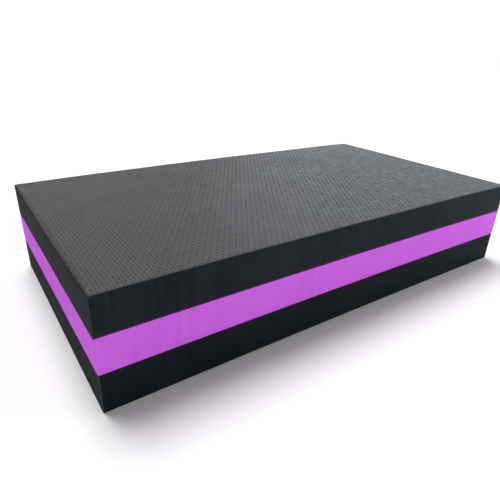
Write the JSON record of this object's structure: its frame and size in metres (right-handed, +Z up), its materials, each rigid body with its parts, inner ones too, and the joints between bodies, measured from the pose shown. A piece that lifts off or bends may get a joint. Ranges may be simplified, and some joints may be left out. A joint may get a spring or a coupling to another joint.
{
  "type": "kneeling pad",
  "caption": "Rectangular garden kneeling pad: a thick block of closed-cell foam with an embossed black top, a purple core and a black base, bonded face to face.",
  "frame": {"origin": "centre of the underside, on the surface that the pad lies on", "axes": "+X along the length, +Y across the width, +Z up through the kneeling face; the rolled short end is at -X"},
  "size_m": [0.46, 0.25, 0.09],
  "materials": {
    "black_foam": "matte closed-cell foam, skin embossed with small pits, sides cut",
    "purple_foam": "matte closed-cell foam, sides cut",
    "glue": "dried contact adhesive, dull"
  },
  "bodies": {
    "root": {"bottom_slab": "black_foam", "lower_glue_film": "glue", "core_slab": "purple_foam", "upper_glue_film": "glue", "top_slab": "black_foam"}
  },
  "joints": []
}
